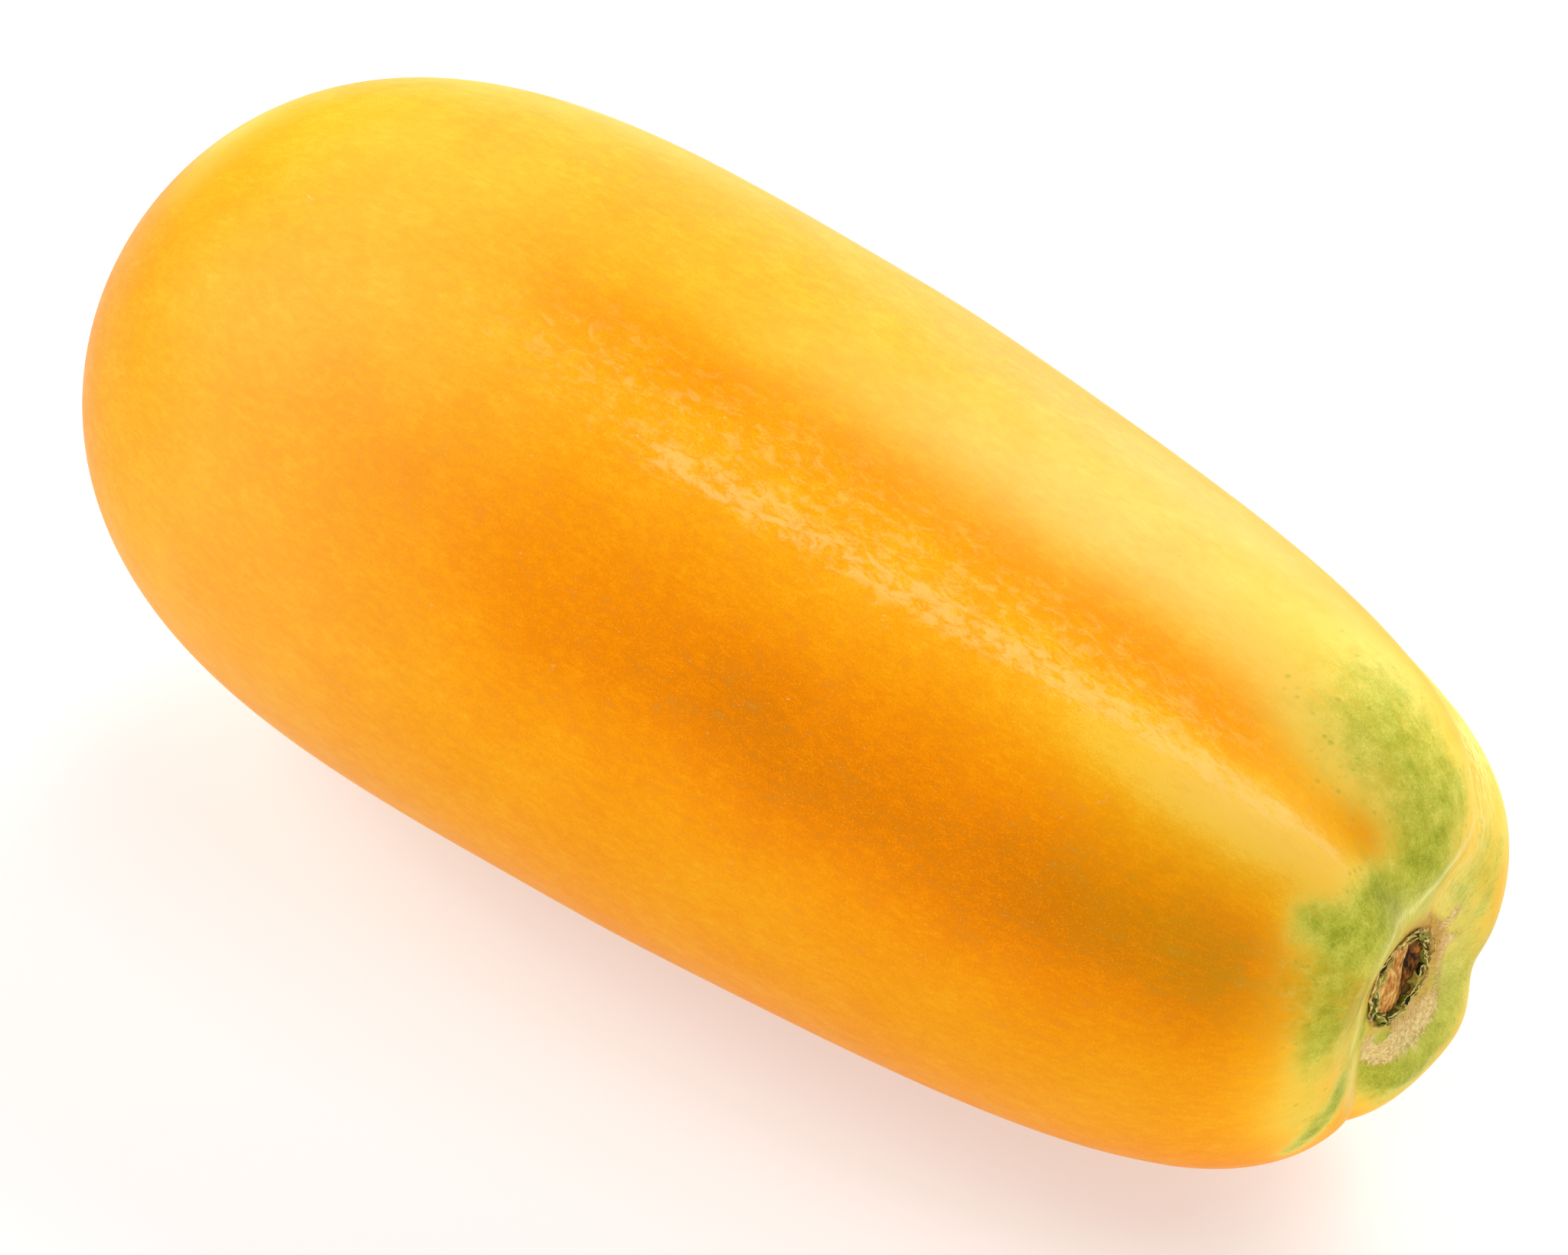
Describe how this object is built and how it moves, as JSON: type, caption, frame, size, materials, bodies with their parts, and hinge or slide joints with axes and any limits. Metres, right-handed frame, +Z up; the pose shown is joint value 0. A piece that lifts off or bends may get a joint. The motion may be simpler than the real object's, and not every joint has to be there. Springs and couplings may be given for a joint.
{
  "type": "papaya fruit",
  "caption": "Whole ripe papaya lying on its side: a long, blunt, lobed fruit with orange-yellow skin, green patches and a sunken stalk scar at the slim end.",
  "frame": {"origin": "on the surface the fruit lies on, under the middle of its length and width", "axes": "+X along the fruit towards the stem end, which dips 2.5 degrees; +Z up"},
  "size_m": [0.2482, 0.1126, 0.1127],
  "materials": {
    "skin": "satin waxy fruit skin, orange-yellow with green patches at the stem end",
    "stem_scar": "dry torn plant fibre in the scar where the stalk came away"
  },
  "bodies": {
    "root": {"papaya": "skin"}
  },
  "joints": []
}
